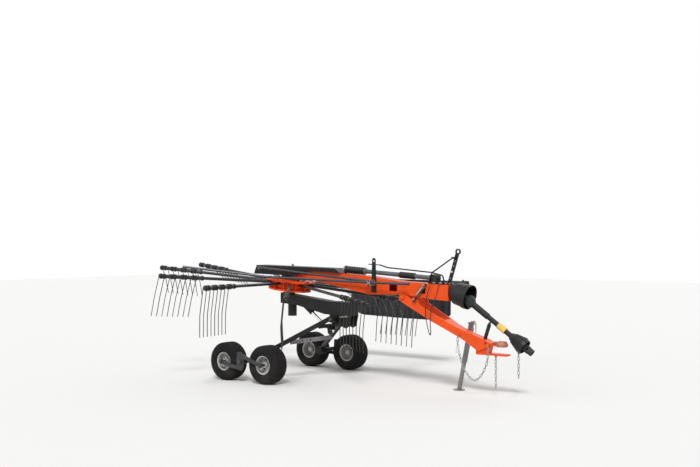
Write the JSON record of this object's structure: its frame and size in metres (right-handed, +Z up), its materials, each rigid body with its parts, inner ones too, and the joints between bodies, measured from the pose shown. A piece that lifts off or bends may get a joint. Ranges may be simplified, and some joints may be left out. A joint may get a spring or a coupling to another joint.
{
  "type": "single-rotor rotary rake",
  "caption": "Towed rotary hay rake with a tined rotor on tandem wheels, drawbar with drive shaft, parking jack and side curtain.",
  "frame": {"origin": "middle of the footprint, on the ground", "axes": "+X forward to the tractor, +Y to the rake's left, +Z up"},
  "size_m": [5.0736, 3.5014, 1.594],
  "materials": {
    "orange_paint": "satin",
    "black_paint": "satin",
    "rim_paint": "satin",
    "tyre_rubber": "matte",
    "black_plastic": "matte",
    "yellow_plastic": "satin",
    "curtain_rubber": "matte",
    "tine_steel": "satin",
    "zinc": "satin",
    "grey_steel": "satin",
    "chrome_rod": "gloss",
    "cast_grey": "matte"
  },
  "bodies": {
    "frame": {"main_beam": "orange_paint", "front_frame": "orange_paint", "gearbox": "cast_grey", "gearbox_cover": "black_paint", "rotor_axle": "cast_grey", "chassis_beam": "black_paint", "drive_bellows": "black_plastic", "drive_tube": "grey_steel", "front_bearing": "cast_grey", "shaft_guard": "black_plastic", "input_shaft": "grey_steel", "rack_post": "black_paint", "bar_clamp": "grey_steel", "long_bar": "black_paint", "short_bar": "black_paint", "mast": "black_paint", "mast_stay": "black_paint", "hose_rail": "black_paint", "curtain_carrier": "black_paint", "height_tie": "grey_steel", "hose_block": "black_paint", "hydraulic_hose": "curtain_rubber"},
    "rotor": {"rotor_drum": "orange_paint", "arm_tubes": "black_paint", "tine_carriers": "tine_steel"},
    "lift_frame": {"swing_frame": "black_paint", "cross_plate": "grey_steel"},
    "lift_barrel": {"lift_barrel": "black_paint"},
    "lift_rod": {"lift_rod": "chrome_rod"},
    "bogie_left": {"bogie_left": "black_paint"},
    "bogie_right": {"bogie_right": "black_paint"},
    "drawbar": {"drawbar": "orange_paint", "hitch_clevis": "orange_paint", "jack_sleeve": "zinc", "shaft_prop": "black_paint", "safety_chain": "zinc", "hitch_chain": "zinc"},
    "jack_leg": {"jack_leg": "zinc"},
    "pto_shaft": {"shaft_joint": "grey_steel", "shaft_tube": "black_plastic", "shaft_band": "yellow_plastic", "shaft_boot": "black_plastic", "guard_chain": "zinc"},
    "pto_yoke": {"shaft_yoke": "grey_steel"},
    "curtain": {"curtain_slide": "black_paint", "curtain_rail": "black_paint", "swath_curtain": "curtain_rubber"},
    "wheel_front_left": {"tyre_front_left": "tyre_rubber", "rim_front_left": "rim_paint"},
    "wheel_front_right": {"tyre_front_right": "tyre_rubber", "rim_front_right": "rim_paint"},
    "wheel_rear_left": {"tyre_rear_left": "tyre_rubber", "rim_rear_left": "rim_paint"},
    "wheel_rear_right": {"tyre_rear_right": "tyre_rubber", "rim_rear_right": "rim_paint"}
  },
  "joints": [
    {"name": "rotor_spin", "type": "hinge", "parent": "frame", "child": "rotor", "pos_m": [-0.84184, -0.05927, 1.13], "axis": [0.1201, 0.0131, 0.9927], "continuous": true},
    {"name": "lift", "type": "hinge", "parent": "frame", "child": "lift_frame", "pos_m": [-0.05184, -0.05927, 0.735], "axis": [0, 1, 0], "range_deg": [0, 33]},
    {"name": "lift_barrel_swing", "type": "hinge", "parent": "frame", "child": "lift_barrel", "pos_m": [-0.71184, -0.05927, 0.962], "axis": [0, 1, 0], "range_deg": [-5, 1]},
    {"name": "lift_rod_slide", "type": "slide", "parent": "lift_barrel", "child": "lift_rod", "axis": [0.8138, 0, -0.5811], "range_m": [-0.106, 0]},
    {"name": "drawbar_tilt", "type": "hinge", "parent": "frame", "child": "drawbar", "pos_m": [0.94316, -0.05927, 1.034], "axis": [0, 1, 0], "range_deg": [0, 7]},
    {"name": "jack_lift", "type": "slide", "parent": "drawbar", "child": "jack_leg", "axis": [0.2079, 0, 0.9781], "range_m": [0, 0.25]},
    {"name": "pto_swing", "type": "hinge", "parent": "frame", "child": "pto_shaft", "pos_m": [1.65816, -0.05927, 1.084], "axis": [0, -1, 0], "range_deg": [0, 25]},
    {"name": "pto_spin", "type": "hinge", "parent": "pto_shaft", "child": "pto_yoke", "pos_m": [1.65816, -0.05927, 1.084], "axis": [0.8241, 0, -0.5664], "continuous": true},
    {"name": "curtain_slide_out", "type": "slide", "parent": "frame", "child": "curtain", "axis": [0, 1, 0], "range_m": [0, 0.5]},
    {"name": "bogie_rock_left", "type": "hinge", "parent": "lift_frame", "child": "bogie_left", "pos_m": [-0.81184, 0.86873, 0.25], "axis": [0, 1, 0], "range_deg": [-8, 8]},
    {"name": "wheel_spin_front_left", "type": "hinge", "parent": "bogie_left", "child": "wheel_front_left", "pos_m": [-0.49534, 0.74473, 0.2285], "axis": [0, 1, 0], "continuous": true},
    {"name": "wheel_spin_rear_left", "type": "hinge", "parent": "bogie_left", "child": "wheel_rear_left", "pos_m": [-1.12834, 0.74473, 0.2285], "axis": [0, 1, 0], "continuous": true},
    {"name": "bogie_rock_right", "type": "hinge", "parent": "lift_frame", "child": "bogie_right", "pos_m": [-0.81184, -0.98727, 0.25], "axis": [0, 1, 0], "range_deg": [-8, 8]},
    {"name": "wheel_spin_front_right", "type": "hinge", "parent": "bogie_right", "child": "wheel_front_right", "pos_m": [-0.49534, -0.86327, 0.2285], "axis": [0, 1, 0], "continuous": true},
    {"name": "wheel_spin_rear_right", "type": "hinge", "parent": "bogie_right", "child": "wheel_rear_right", "pos_m": [-1.12834, -0.86327, 0.2285], "axis": [0, 1, 0], "continuous": true}
  ],
  "couplings": [
    {"joint": "lift_barrel_swing", "follows": "lift", "ratio": -0.12087},
    {"joint": "lift_rod_slide", "follows": "lift", "m_per_rad": -0.18238},
    {"joint": "pto_spin", "follows": "rotor_spin", "ratio": 6.5}
  ]
}
